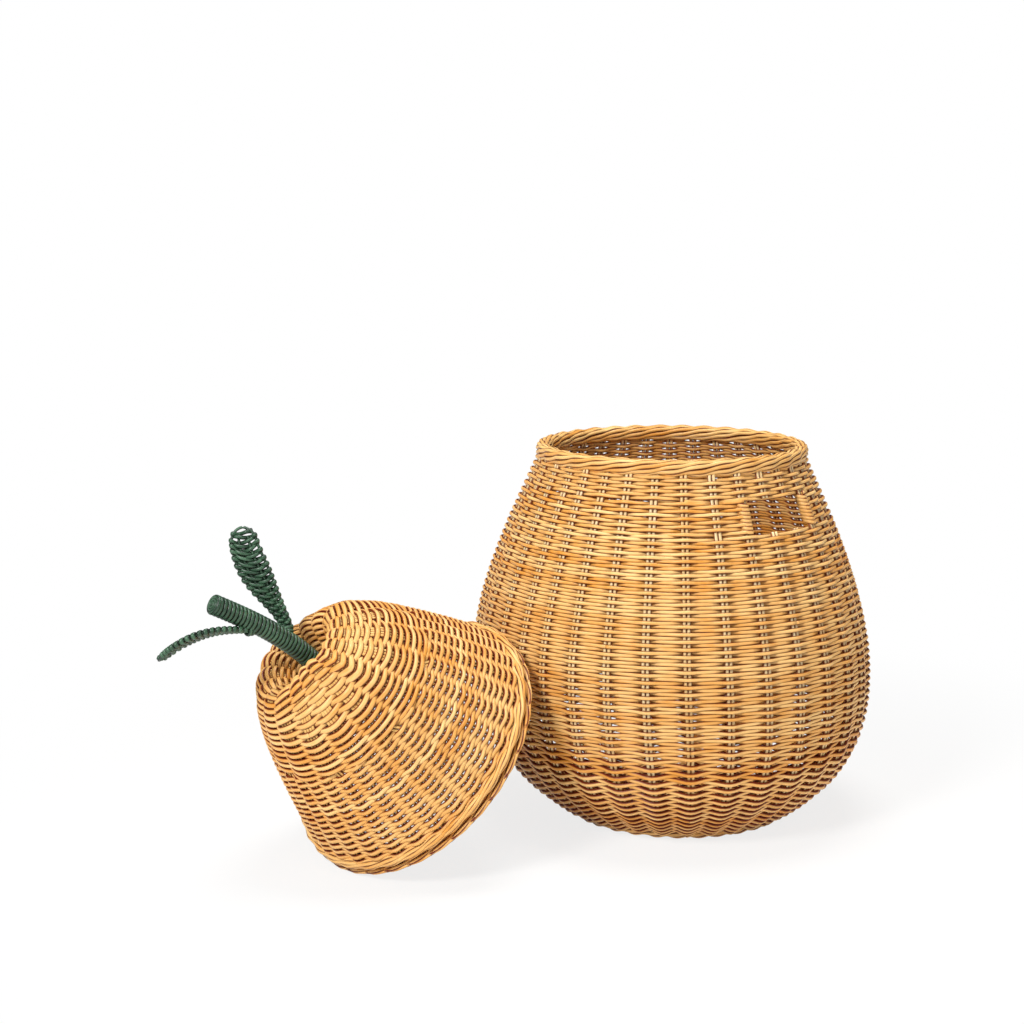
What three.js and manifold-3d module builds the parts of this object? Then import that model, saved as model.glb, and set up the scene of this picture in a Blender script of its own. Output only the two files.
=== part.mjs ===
// Pear-shaped storage basket in woven rattan, with its lid taken off and leaning against it
// Millimetres, +Z up, +Y away from the viewer, origin on the floor under the middle of the base
// Angles round the basket start at the front, on -Y, and turn towards +X
import * as THREE from 'three';
import { mergeVertices } from 'three/addons/utils/BufferGeometryUtils.js';
import Module from 'manifold-3d';

const wasm = await Module();
wasm.setup();
const degree = Math.PI / 180;
const fullTurn = 2 * Math.PI;

// Cane, weave and fits
const caneDiameter = 3.8;
const pairSpacing = 4.4;
const weaveThickness = 10;
const slipFit = 0.3;
const grooveFit = 1;
const tuckDepth = 6;
const flatness = 0.02;

// Basket wall, as the line that its stakes follow from the foot to the mouth
const footRadius = 122;
const footHeight = 8.7;
const footSlope = 32 * degree;
const footReach = 91;
const bellyRadius = 211.5;
const bellyHeight = 173.5;
const bellyReachBelow = 59;
const bellyReachAbove = 83;
const mouthRadius = 142;
const mouthHeight = 390;
const mouthLean = 10 * degree;
const mouthReach = 12;
const lowerSteps = 4;
const upperSteps = 3;

// Stake pairs and the zones of the wall's weave
const stakePairs = 33;
const firstStakeAngle = 1.7 * degree;
const lowerZoneTop = 122;

// Hand holes, each between two stake pairs with their canes bound
const handHoleDrop = 24;
const handHoleHeight = 33;
const handHoleSpan = 3;
const rightHoleFirstStake = 2;
const leftHoleFirstStake = 18;

// Base and borders
const baseThickness = 8;
const baseSticks = 8;
const baseStickWidth = 8;
const baseStickHeight = 3.4;
const footBorderWidth = 17;
const footBorderRise = 12;
const footBorderFlare = 2;
const rimOutset = 5;
const rimInset = 11;
const rimHeight = 18;
const borderRound = 3.5;

// Lid, in its own frame with +Z along its axis and its origin under its seat ring
const seatDepth = 17;
const seatClearance = 3;
const seatRingThickness = 9;
const seatRingDrop = 2.6;
const lidBorderHeight = 13;
const lidBorderInset = 10.5;
const lidLean = 18.8 * degree;
const lidReach = 85;
const crestRadius = 51;
const crestHeight = 196;
const crestReach = 23;
const dimpleRadius = 13;
const dimpleDepth = 28.4;
const dimpleReachOut = 20;
const dimpleReachIn = 16;
const hubClearance = 1.3;
const lidStakeGroups = 17;
const lidStakeWidth = 8.2;
const lidStakeShare = 0.8;
const lidSteps = 4;
const dimpleSteps = 3;
const crownFoldAngle = 4 * degree;
const crownFoldStart = 165;
const crownFoldShares = [0.8, 0.65, 0.5, 0];

// Stem and its winding
const stemCoreRadius = 6.6;
const stemCoreSides = 10;
const stemFootDrop = 10;
const stemTip = new THREE.Vector3(15, -8, 313);
const stemReachBelow = new THREE.Vector3(-9, 0, 60);
const stemFootAside = 1.5;
const stemReachAbove = new THREE.Vector3(-11, 4, -46);
const stemSteps = 7;
const windingThickness = 3.4;
const windingClearance = 0.5;
const windingGap = 0.6;
const windingLoops = 24;
const windingEndLoops = 3;
const windingSteps = 8;
const windingSides = 5;
const endDiscRadius = 10;
const endDiscThickness = 2.5;
const endDiscSides = 14;

// Leaves: each leaves the stem after a loop of its winding, and its route is counted from there
const leafStalkRadius = 2;
const leafRibRadius = 1.3;
const leafThickness = 8;
const leafEdge = 3;
const leafRoot = 6;
const leafStart = 0.15;
const leafStalkSides = 8;
const leafRibStart = 0.1;
const leafRibOpen = 0.25;
const leafRibEnd = 0.95;
const leafRibSides = 5;
const leafShoulder = 0.75;
const leafFullness = 1.3;
const leafTipRound = 0.22;
const leafTipLeast = 0.2;
const leafSteps = 8;
const leafStalkSteps = 3;
const leafSkip = 9.5;
const leafSkipStart = 0.1;
const leafSkipEnd = 0.9;
const leafDrop = 1.2;
const socketDepth = 3.6;
const leaves = [
  {
    name: 'upright_leaf',
    afterLoop: 9,
    halfWidth: 19,
    route: [new THREE.Vector3(-24, -6, 0), new THREE.Vector3(-38, -26, 83), new THREE.Vector3(-70.5, -36, 91)],
    across: new THREE.Vector3(-0.82, 0.45, -0.36),
  },
  {
    name: 'drooping_leaf',
    afterLoop: 15,
    halfWidth: 17,
    route: [new THREE.Vector3(24, -9, -4), new THREE.Vector3(48, -20, 60), new THREE.Vector3(81, -27, 52)],
    across: new THREE.Vector3(0.16, 0.77, 0.61),
  },
];

// Bound posts of the hand holes
const bindingThickness = 1.8;
const bindingWidth = 2.9;
const bindingClearance = 0.8;
const bindingLoops = 6;
const bindingSteps = 8;
const bindingSides = 4;
const bindingSquareness = 0.5;

// Where the lid leans
const lidTilt = 49.3 * degree;
const lidTurn = 220.3 * degree;
const lidPlace = 208.7 * degree;
const leanClearance = 0.5;
const leanPrecision = 0.01;
const floorClearance = 0.3;

// Finishes
const rattanWeave = { color: 0xdca658, roughness: 0.55, metalness: 0 };
const rattanStake = { color: 0xe8bd78, roughness: 0.5, metalness: 0 };
const rattanBorder = { color: 0xd79c4c, roughness: 0.55, metalness: 0 };
const greenCane = { color: 0x2f4d3b, roughness: 0.6, metalness: 0 };

const stakeTurn = fullTurn / stakePairs;
const handHoleLintel = mouthHeight - handHoleDrop;
const handHoleSill = handHoleLintel - handHoleHeight;
const halfWeave = weaveThickness / 2;
const pairHalfWidth = (pairSpacing + caneDiameter) / 2;

// A manifold solid from any closed geometry, its faces turned outwards
function toSolid(geometry) {
  const bare = new THREE.BufferGeometry();
  bare.setAttribute('position', geometry.getAttribute('position'));
  bare.setIndex(geometry.getIndex());
  const merged = mergeVertices(bare, 1e-4);
  const places = merged.getAttribute('position').array;
  const corners = merged.getIndex().array;
  const triangles = [];
  let volume = 0;
  for (let first = 0; first < corners.length; first += 3) {
    const [a, b, c] = corners.slice(first, first + 3);
    if (a === b || b === c || c === a) continue;
    triangles.push(a, b, c);
    const p = new THREE.Vector3().fromArray(places, 3 * a);
    const q = new THREE.Vector3().fromArray(places, 3 * b);
    const r = new THREE.Vector3().fromArray(places, 3 * c);
    volume += p.dot(q.cross(r));
  }
  if (volume < 0) triangles.reverse();
  const mesh = new wasm.Mesh({
    numProp: 3,
    vertProperties: new Float32Array(places),
    triVerts: new Uint32Array(triangles),
  });
  return new wasm.Manifold(mesh);
}

// Corners that lie on a flat face or a straight edge are left out
function toGeometry(solid) {
  const mesh = solid.asOriginal().simplify(flatness).getMesh();
  const geometry = new THREE.BufferGeometry();
  geometry.setAttribute('position', new THREE.BufferAttribute(mesh.vertProperties, 3));
  geometry.setIndex(new THREE.BufferAttribute(mesh.triVerts, 1));
  geometry.computeVertexNormals();
  return geometry;
}

function addPart(parent, name, solid, finish) {
  const part = new THREE.Mesh(toGeometry(solid), new THREE.MeshStandardMaterial(finish));
  part.name = name;
  parent.add(part);
}

function joinAll(solids) {
  return solids.reduce((sum, solid) => sum.add(solid));
}

// A closed bar through a row of places, each with its own side and up directions
function barGeometry(places, section) {
  const positions = [];
  const triangles = [];
  const size = section.length;
  for (const { point, side, up, width = 1, height = 1 } of places) {
    for (const [across, above] of section) {
      const corner = point.clone();
      corner.addScaledVector(side, across * width);
      corner.addScaledVector(up, above * height);
      positions.push(corner.x, corner.y, corner.z);
    }
  }
  for (let ring = 0; ring + 1 < places.length; ring += 1) {
    for (let corner = 0; corner < size; corner += 1) {
      const a = ring * size + corner;
      const b = ring * size + (corner + 1) % size;
      triangles.push(a, b, b + size, a, b + size, a + size);
    }
  }
  const last = (places.length - 1) * size;
  for (let corner = 1; corner + 1 < size; corner += 1) {
    triangles.push(0, corner + 1, corner, last, last + corner, last + corner + 1);
  }
  const geometry = new THREE.BufferGeometry();
  geometry.setAttribute('position', new THREE.Float32BufferAttribute(positions, 3));
  geometry.setIndex(triangles);
  return geometry;
}

function ovalSection(width, height, sides) {
  const section = [];
  for (let side = 0; side < sides; side += 1) {
    const turn = fullTurn * side / sides;
    section.push([width / 2 * Math.cos(turn), height / 2 * Math.sin(turn)]);
  }
  return section;
}

// A wound tube: each place gives a point and the direction out of the winding, which its section keeps
function windingGeometry(line, section) {
  const places = line.map(({ point, out }, step) => {
    const before = line[Math.max(0, step - 1)].point;
    const after = line[Math.min(line.length - 1, step + 1)].point;
    const along = after.clone().sub(before).normalize();
    const side = out.clone().addScaledVector(along, -out.dot(along)).normalize();
    return { point, side, up: new THREE.Vector3().crossVectors(along, side) };
  });
  return barGeometry(places, section);
}

// Least distance between the parts of one wound tube that lie more than half a loop apart
function selfGap(geometry, sides, stepsPerLoop) {
  const places = geometry.getAttribute('position');
  const apart = sides * stepsPerLoop / 2;
  const from = new THREE.Vector3();
  const to = new THREE.Vector3();
  let least = Infinity;
  for (let one = 0; one < places.count; one += 1) {
    from.fromBufferAttribute(places, one);
    for (let other = one + apart; other < places.count; other += 1) {
      to.fromBufferAttribute(places, other);
      least = Math.min(least, from.distanceTo(to));
    }
  }
  return least;
}

// A many-sided ring about +Z from a closed outline of height and radius to the flats, one flat per stake
function ringGeometry(outline, flats, firstFlat) {
  const toCorner = 1 / Math.cos(Math.PI / flats);
  const closed = [...outline, outline[0]];
  const profile = closed.map(([radius, height]) => new THREE.Vector2(radius * toCorner, height));
  const firstCorner = firstFlat - Math.PI / flats;
  return new THREE.LatheGeometry(profile, flats, firstCorner, fullTurn).rotateX(Math.PI / 2);
}

// Unit directions at an angle round the basket
function outward(angle) {
  return new THREE.Vector3(Math.sin(angle), -Math.cos(angle), 0);
}

function sideways(angle) {
  return new THREE.Vector3(Math.cos(angle), Math.sin(angle), 0);
}

// Stations down a chain of plane curves: radius, height and the directions along and out of the wall
function stationsAlong(curves) {
  const points = [];
  curves.forEach(([curve, steps], chain) => {
    points.push(...curve.getPoints(steps).slice(chain === 0 ? 0 : 1));
  });
  return points.map((point, index) => {
    const before = points[Math.max(0, index - 1)];
    const after = points[Math.min(points.length - 1, index + 1)];
    const along = after.clone().sub(before).normalize();
    return { radius: point.x, height: point.y, along, out: new THREE.Vector2(along.y, -along.x) };
  });
}

function offset(station, out, along = 0) {
  return [
    station.radius + out * station.out.x + along * station.along.x,
    station.height + out * station.out.y + along * station.along.y,
  ];
}

// The closed outline of a weave of even thickness on both sides of the stations
function weaveOutline(stations) {
  const outer = stations.map((station) => offset(station, halfWeave));
  const inner = stations.map((station) => offset(station, -halfWeave));
  return [...outer, ...inner.reverse()];
}

// The same stations with their ends drawn out, so that a stake runs on into its border
function lengthened(stations, before, after) {
  const longer = [...stations];
  const last = stations.length - 1;
  const [firstRadius, firstHeight] = offset(stations[0], 0, -before);
  const [lastRadius, lastHeight] = offset(stations[last], 0, after);
  longer[0] = { ...stations[0], radius: firstRadius, height: firstHeight };
  longer[last] = { ...stations[last], radius: lastRadius, height: lastHeight };
  return longer;
}

// A flat bar of two canes side by side, standing in the wall at one angle
function stakeGeometry(stations, angle, width, thickness, widthAt = () => 1) {
  const section = [
    [width / 2, -thickness / 2],
    [width / 2, thickness / 2],
    [-width / 2, thickness / 2],
    [-width / 2, -thickness / 2],
  ];
  const places = stations.map((station) => ({
    point: outward(angle).multiplyScalar(station.radius).setZ(station.height),
    side: sideways(angle),
    up: outward(angle).multiplyScalar(station.out.x).setZ(station.out.y),
    width: widthAt(station.radius),
  }));
  return barGeometry(places, section);
}

// A slab across the whole basket between two heights
function slab(from, to) {
  const breadth = 4 * bellyRadius;
  const box = new THREE.BoxGeometry(breadth, breadth, to - from).translate(0, 0, (from + to) / 2);
  return toSolid(box);
}

const wallStations = stationsAlong([
  [new THREE.CubicBezierCurve(
    new THREE.Vector2(footRadius, footHeight),
    new THREE.Vector2(
      footRadius + footReach * Math.cos(footSlope),
      footHeight + footReach * Math.sin(footSlope),
    ),
    new THREE.Vector2(bellyRadius, bellyHeight - bellyReachBelow),
    new THREE.Vector2(bellyRadius, bellyHeight),
  ), lowerSteps],
  [new THREE.CubicBezierCurve(
    new THREE.Vector2(bellyRadius, bellyHeight),
    new THREE.Vector2(bellyRadius, bellyHeight + bellyReachAbove),
    new THREE.Vector2(
      mouthRadius + mouthReach * Math.sin(mouthLean),
      mouthHeight - mouthReach * Math.cos(mouthLean),
    ),
    new THREE.Vector2(mouthRadius, mouthHeight),
  ), upperSteps],
]);
const wallFoot = wallStations[0];
const wallTop = wallStations[wallStations.length - 1];

// Radius of the wall at a height, on its middle line or out from it
function wallRadiusAt(height, out = 0) {
  const line = wallStations.map((station) => offset(station, out));
  const above = Math.max(1, line.findIndex((point) => point[1] >= height));
  const [lowRadius, lowHeight] = line[above - 1];
  const [highRadius, highHeight] = line[above];
  return lowRadius + (highRadius - lowRadius) * (height - lowHeight) / (highHeight - lowHeight);
}

const basket = new THREE.Group();

// Base: a woven disc, flat on the floor, with a star of crossed sticks let into its upper side
const footBorderInner = footRadius - footBorderWidth;
const baseRadius = footBorderInner - slipFit;

function crossedSticks(width, height, length, top) {
  const sticks = [];
  for (let stick = 0; stick < baseSticks; stick += 1) {
    const bar = new THREE.BoxGeometry(length, width, height);
    bar.rotateZ(firstStakeAngle + Math.PI * stick / baseSticks);
    bar.translate(0, 0, top - height / 2);
    sticks.push(toSolid(bar));
  }
  return joinAll(sticks);
}

const baseOutline = [[0, 0], [baseRadius, 0], [baseRadius, baseThickness], [0, baseThickness]];
const baseDisc = ringGeometry(baseOutline, stakePairs, firstStakeAngle);
const stickRecess = crossedSticks(
  baseStickWidth + 2 * slipFit,
  2 * (baseStickHeight + slipFit),
  2 * baseRadius + 2 * slipFit,
  baseThickness + baseStickHeight + slipFit,
);
addPart(basket, 'base_weave', toSolid(baseDisc).subtract(stickRecess), rattanWeave);
const stickLength = 2 * baseRadius - 2 * slipFit;
const sticks = crossedSticks(baseStickWidth, baseStickHeight, stickLength, baseThickness);
addPart(basket, 'base_sticks', sticks, rattanStake);

// Foot and rim borders, each with a groove that takes the ends of the stakes
const grooveHalf = caneDiameter / 2 + grooveFit;
const grooveDepth = tuckDepth + grooveFit;
const footBorderOutline = [
  [footBorderInner, 0],
  [offset(wallFoot, halfWeave, -slipFit)[0] - footBorderFlare, 0],
  offset(wallFoot, halfWeave, -slipFit),
  offset(wallFoot, grooveHalf, -slipFit),
  offset(wallFoot, grooveHalf, -grooveDepth),
  offset(wallFoot, -grooveHalf, -grooveDepth),
  offset(wallFoot, -grooveHalf, -slipFit),
  offset(wallFoot, -halfWeave, -slipFit),
  [footBorderInner + borderRound, footBorderRise],
  [footBorderInner, footBorderRise - borderRound],
];
const footBorder = toSolid(ringGeometry(footBorderOutline, stakePairs, firstStakeAngle));
addPart(basket, 'foot_border', footBorder, rattanBorder);

const rimOuter = mouthRadius + rimOutset;
const rimInner = mouthRadius - rimInset;
const rimTop = mouthHeight + rimHeight;
const rimOutline = [
  offset(wallTop, halfWeave, slipFit),
  [rimOuter, mouthHeight + borderRound],
  [rimOuter, rimTop - borderRound],
  [rimOuter - borderRound, rimTop],
  [rimInner + borderRound, rimTop],
  [rimInner, rimTop - borderRound],
  [rimInner, mouthHeight + borderRound],
  offset(wallTop, -halfWeave, slipFit),
  offset(wallTop, -grooveHalf, slipFit),
  offset(wallTop, -grooveHalf, grooveDepth),
  offset(wallTop, grooveHalf, grooveDepth),
  offset(wallTop, grooveHalf, slipFit),
];
addPart(basket, 'rim_border', toSolid(ringGeometry(rimOutline, stakePairs, firstStakeAngle)), rattanBorder);

// Stake pairs, foot to rim, parted where a hand hole is in their way
const stakeStations = lengthened(wallStations, tuckDepth, tuckDepth);
const holeFirstStakes = [rightHoleFirstStake, leftHoleFirstStake];
const belowHoles = slab(-mouthHeight, handHoleSill);
const aboveHoles = slab(handHoleLintel, 2 * mouthHeight);

function isParted(stake) {
  return holeFirstStakes.some((first) => stake > first && stake < first + handHoleSpan);
}

const channels = [];
for (let stake = 0; stake < stakePairs; stake += 1) {
  const angle = firstStakeAngle + stake * stakeTurn;
  const name = `stake_pair_${String(stake + 1).padStart(2, '0')}`;
  const pair = toSolid(stakeGeometry(stakeStations, angle, 2 * pairHalfWidth, caneDiameter));
  const channelWidth = 2 * (pairHalfWidth + slipFit);
  channels.push(toSolid(stakeGeometry(stakeStations, angle, channelWidth, caneDiameter + 2 * slipFit)));
  if (isParted(stake)) {
    addPart(basket, name, pair.intersect(belowHoles), rattanStake);
    addPart(basket, `${name}_upper`, pair.intersect(aboveHoles), rattanStake);
  } else {
    addPart(basket, name, pair, rattanStake);
  }
}

// Hand holes: a wedge from one bound post to the other, from well inside the wall to well outside it
const postHalfWidth = pairHalfWidth + bindingClearance + bindingThickness;
const holeRadius = wallRadiusAt(handHoleLintel);

function holeCut(firstStake) {
  const overhang = (postHalfWidth + slipFit) / holeRadius;
  const from = firstStakeAngle + firstStake * stakeTurn - overhang;
  const to = firstStakeAngle + (firstStake + handHoleSpan) * stakeTurn + overhang;
  const near = holeRadius / 2;
  const far = 2 * holeRadius;
  const wedge = new THREE.Shape();
  const corners = [outward(from).multiplyScalar(near), outward(to).multiplyScalar(near)];
  corners.push(outward(to).multiplyScalar(far), outward(from).multiplyScalar(far));
  wedge.setFromPoints(corners.map((corner) => new THREE.Vector2(corner.x, corner.y)));
  const height = handHoleLintel - handHoleSill;
  const cut = new THREE.ExtrudeGeometry(wedge, { depth: height, bevelEnabled: false });
  cut.translate(0, 0, handHoleSill);
  return toSolid(indexed(cut));
}

function indexed(geometry) {
  const bare = new THREE.BufferGeometry();
  bare.setAttribute('position', geometry.getAttribute('position'));
  return mergeVertices(bare);
}

// Wall weave in three zones round the stakes
const plainWall = toSolid(ringGeometry(weaveOutline(wallStations), stakePairs, firstStakeAngle));
const cuts = joinAll([...channels, ...holeFirstStakes.map(holeCut)]);
const wall = plainWall.subtract(cuts);
addPart(basket, 'wall_weave_lower', wall.intersect(slab(-mouthHeight, lowerZoneTop)), rattanWeave);
addPart(basket, 'wall_weave_belly', wall.intersect(slab(lowerZoneTop, handHoleLintel)), rattanWeave);
addPart(basket, 'wall_weave_top', wall.intersect(slab(handHoleLintel, 2 * mouthHeight)), rattanWeave);

// Bound posts: cane wound round the stake pair on each side of a hand hole, its ends straight up and down
function postBinding(stake) {
  const angle = firstStakeAngle + stake * stakeTurn;
  const across = pairHalfWidth + bindingClearance + bindingThickness / 2;
  const through = caneDiameter / 2 + bindingClearance + bindingThickness / 2;
  const low = handHoleSill + slipFit;
  const high = handHoleLintel - slipFit;
  const endRun = bindingWidth;
  const firstHeight = low + endRun + bindingWidth / 2;
  const lastHeight = high - endRun - bindingWidth / 2;
  const steps = bindingLoops * bindingSteps;
  const squared = (value) => Math.sign(value) * Math.abs(value) ** (1 - bindingSquareness);
  const line = [];
  for (let step = 0; step <= steps; step += 1) {
    const turn = fullTurn * step / bindingSteps;
    const height = firstHeight + (lastHeight - firstHeight) * step / steps;
    const out = sideways(angle).multiplyScalar(Math.cos(turn));
    out.addScaledVector(outward(angle), Math.sin(turn));
    const point = outward(angle).multiplyScalar(wallRadiusAt(height) + through * squared(Math.sin(turn)));
    point.addScaledVector(sideways(angle), across * squared(Math.cos(turn)));
    line.push({ point: point.setZ(height), out });
  }
  const raised = (place, height) => ({ point: place.point.clone().setZ(height), out: place.out });
  const start = line[0];
  const end = line[steps];
  line.unshift(raised(start, low), raised(start, low + endRun));
  line.push(raised(end, high - endRun), raised(end, high));
  return windingGeometry(line, ovalSection(bindingThickness, bindingWidth, bindingSides));
}

const posts = [
  ['right_front', rightHoleFirstStake],
  ['right_back', rightHoleFirstStake + handHoleSpan],
  ['left_back', leftHoleFirstStake],
  ['left_front', leftHoleFirstStake + handHoleSpan],
];
posts.forEach(([side, stake]) => {
  const binding = postBinding(stake);
  const gap = selfGap(binding, bindingSides, bindingSteps);
  console.log(`hand_hole_post_${side}: least gap ${gap.toFixed(2)} mm`);
  addPart(basket, `hand_hole_post_${side}`, toSolid(binding), rattanBorder);
});

// Lid, built in its own frame
const lid = new THREE.Group();
const seatRadius = rimInner - seatClearance;
const lidBorderTop = seatDepth + lidBorderHeight;
const dimpleHeight = crestHeight - dimpleDepth;
const lidFoot = new THREE.Vector2(rimOuter - lidBorderInset, lidBorderTop);

const lidStations = stationsAlong([
  [new THREE.CubicBezierCurve(
    lidFoot,
    new THREE.Vector2(lidFoot.x - lidReach * Math.sin(lidLean), lidFoot.y + lidReach * Math.cos(lidLean)),
    new THREE.Vector2(crestRadius + crestReach, crestHeight),
    new THREE.Vector2(crestRadius, crestHeight),
  ), lidSteps],
  [new THREE.CubicBezierCurve(
    new THREE.Vector2(crestRadius, crestHeight),
    new THREE.Vector2(crestRadius - dimpleReachOut, crestHeight),
    new THREE.Vector2(dimpleRadius + dimpleReachIn, dimpleHeight),
    new THREE.Vector2(dimpleRadius, dimpleHeight),
  ), dimpleSteps],
]);
const lidEnd = lidStations[0];

// The crown is folded: each side between two folds is drawn in, from the shoulder up over the crest
function foldCrown(geometry) {
  const places = geometry.getAttribute('position');
  const foldTurn = fullTurn / crownFoldShares.length;
  for (let index = 0; index < places.count; index += 1) {
    const [x, y, height] = [places.getX(index), places.getY(index), places.getZ(index)];
    const turned = THREE.MathUtils.euclideanModulo(Math.atan2(y, x) - crownFoldAngle, fullTurn);
    const fold = Math.min(Math.floor(turned / foldTurn), crownFoldShares.length - 1);
    const fromFold = turned - fold * foldTurn;
    const flatSide = Math.cos(foldTurn / 2) / Math.cos(fromFold - foldTurn / 2);
    const risen = THREE.MathUtils.smoothstep(height, crownFoldStart, crestHeight);
    const spread = THREE.MathUtils.smoothstep(Math.hypot(x, y), dimpleRadius + halfWeave, crestRadius);
    const scale = 1 - crownFoldShares[fold] * risen * spread * (1 - flatSide);
    places.setXY(index, x * scale, y * scale);
  }
  return geometry;
}

// Seat ring that drops into the mouth, and the border that rests on the rim
const seatTop = lidBorderTop - seatRingDrop;
const seatOutline = [
  [seatRadius - seatRingThickness + borderRound, 0],
  [seatRadius - borderRound, 0],
  [seatRadius, borderRound],
  [seatRadius, seatTop],
  [seatRadius - seatRingThickness, seatTop],
  [seatRadius - seatRingThickness, borderRound],
];
const lidFlats = 2 * lidStakeGroups;
addPart(lid, 'lid_seat_ring', toSolid(ringGeometry(seatOutline, lidFlats, 0)), rattanBorder);

const lidBorderOutline = [
  [seatRadius + slipFit, seatDepth],
  [rimOuter - borderRound, seatDepth],
  [rimOuter, seatDepth + borderRound],
  [rimOuter, lidBorderTop - borderRound],
  offset(lidEnd, halfWeave, -slipFit),
  offset(lidEnd, grooveHalf, -slipFit),
  offset(lidEnd, grooveHalf, -grooveDepth),
  offset(lidEnd, -grooveHalf, -grooveDepth),
  offset(lidEnd, -grooveHalf, -slipFit),
  offset(lidEnd, -halfWeave, -slipFit),
  [seatRadius + slipFit, seatTop],
];
addPart(lid, 'lid_border', toSolid(ringGeometry(lidBorderOutline, lidFlats, 0)), rattanBorder);

// Lid stakes: groups of canes from the border over the crest, gathered round the stem's foot
const groupTurn = fullTurn / lidStakeGroups;
const hubInner = stemCoreRadius + 2 * slipFit;
const hubOuter = dimpleRadius - hubClearance;

function lidStakes(spare) {
  const intoHub = spare > 0 ? spare : hubOuter - hubInner;
  const stations = lengthened(lidStations, tuckDepth + spare, intoHub);
  const width = lidStakeWidth + 2 * spare;
  const room = (radius) => lidStakeShare * 2 * radius * Math.sin(groupTurn / 2);
  const taper = (radius) => Math.min(1, (room(radius) + 2 * spare) / width);
  const bars = [];
  for (let group = 0; group < lidStakeGroups; group += 1) {
    const bar = stakeGeometry(stations, group * groupTurn, width, caneDiameter + 2 * spare, taper);
    bars.push(toSolid(foldCrown(bar)));
  }
  return joinAll(bars);
}

const hubOutline = [
  [hubInner, dimpleHeight - caneDiameter / 2],
  [hubOuter, dimpleHeight - caneDiameter / 2],
  [hubOuter, dimpleHeight + caneDiameter / 2],
  [hubInner, dimpleHeight + caneDiameter / 2],
];
const hub = toSolid(ringGeometry(hubOutline, lidStakeGroups, 0));
addPart(lid, 'lid_stakes', lidStakes(0).add(hub), rattanStake);

const lidShell = toSolid(foldCrown(ringGeometry(weaveOutline(lidStations), lidFlats, 0)));
addPart(lid, 'lid_weave', lidShell.subtract(lidStakes(slipFit)), rattanWeave);

// Stem: its line bends a little towards the tip, and carries a side and an up direction everywhere
const stemFoot = new THREE.Vector3(stemFootAside, 0, dimpleHeight - stemFootDrop);
const stemLine = new THREE.CubicBezierCurve3(
  stemFoot,
  stemFoot.clone().add(stemReachBelow),
  stemTip.clone().add(stemReachAbove),
  stemTip,
);
const stemLength = stemLine.getLength();

function stemPlace(distance) {
  const point = stemLine.getPointAt(distance / stemLength);
  const along = stemLine.getTangentAt(distance / stemLength);
  const side = new THREE.Vector3().crossVectors(new THREE.Vector3(0, 1, 0), along).normalize();
  return { point, side, up: new THREE.Vector3().crossVectors(along, side) };
}

// A round bar along the stem between two distances
function stemBar(from, to, steps, radius, sides) {
  const places = [];
  for (let step = 0; step <= steps; step += 1) {
    places.push(stemPlace(from + (to - from) * step / steps));
  }
  return toSolid(barGeometry(places, ovalSection(2 * radius, 2 * radius, sides)));
}

// Winding of the stem: it climbs steadily and leaves a wider gap where a leaf comes out
const windingLow = stemFootDrop + caneDiameter / 2 + slipFit;
const windingHigh = stemLength - endDiscThickness - slipFit;
const windingSpace = windingHigh - windingLow + windingEndLoops * windingGap - leaves.length * leafSkip;
const windingPitch = windingSpace / (windingLoops + windingEndLoops);
const windingWidth = windingPitch - windingGap;
const windingFirst = windingLow + windingEndLoops * windingWidth / 2;
const windingRadius = stemCoreRadius + windingClearance + windingThickness / 2;

function leafTurn(leaf) {
  const { side, up } = stemPlace(stemLength / 2);
  const turn = Math.atan2(leaf.route[0].dot(up), leaf.route[0].dot(side)) / fullTurn;
  return leaf.afterLoop + THREE.MathUtils.euclideanModulo(turn, 1);
}

function windingClimb(turns) {
  const skips = leaves.map((leaf) => {
    const past = turns - leafTurn(leaf);
    return THREE.MathUtils.smoothstep(past, leafSkipStart, leafSkipEnd) * leafSkip;
  });
  return windingFirst + windingPitch * turns + skips.reduce((sum, skip) => sum + skip);
}

function windingPlace(distance, turns) {
  const { point, side, up } = stemPlace(distance);
  const out = side.multiplyScalar(Math.cos(fullTurn * turns));
  out.addScaledVector(up, Math.sin(fullTurn * turns));
  return { point: point.addScaledVector(out, windingRadius), out };
}

const windingLine = [windingPlace(windingLow, 0), windingPlace(windingLow + windingWidth, 0)];
for (let step = 0; step <= windingLoops * windingSteps; step += 1) {
  const turns = step / windingSteps;
  windingLine.push(windingPlace(windingClimb(turns), turns));
}
windingLine.push(windingPlace(windingHigh - windingWidth, windingLoops));
windingLine.push(windingPlace(windingHigh, windingLoops));
const winding = windingGeometry(windingLine, ovalSection(windingThickness, windingWidth, windingSides));
console.log(`stem_wrap: least gap ${selfGap(winding, windingSides, windingSteps).toFixed(2)} mm`);
addPart(lid, 'stem_wrap', toSolid(winding), greenCane);

const endDisc = stemBar(stemLength - endDiscThickness, stemLength, 1, endDiscRadius, endDiscSides);
addPart(lid, 'stem_end_disc', endDisc, greenCane);

// Leaves: a stalk out of the stem that parts into three ribs, with cane woven between them
function leafShape(leaf) {
  const turns = leafTurn(leaf);
  const gapMiddle = (windingClimb(turns) + windingClimb(turns + 1)) / 2;
  const root = stemPlace(gapMiddle - leafDrop).point;
  const [near, far, tip] = leaf.route.map((point) => point.clone().add(root));
  return { ...leaf, line: new THREE.CubicBezierCurve3(root, near, far, tip) };
}

function leafPlace(leaf, share, aside = 0) {
  const point = leaf.line.getPointAt(share);
  const along = leaf.line.getTangentAt(share);
  const up = new THREE.Vector3().crossVectors(leaf.across, along).normalize();
  const side = new THREE.Vector3().crossVectors(along, up);
  return { point: point.addScaledVector(side, aside), side, up };
}

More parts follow.
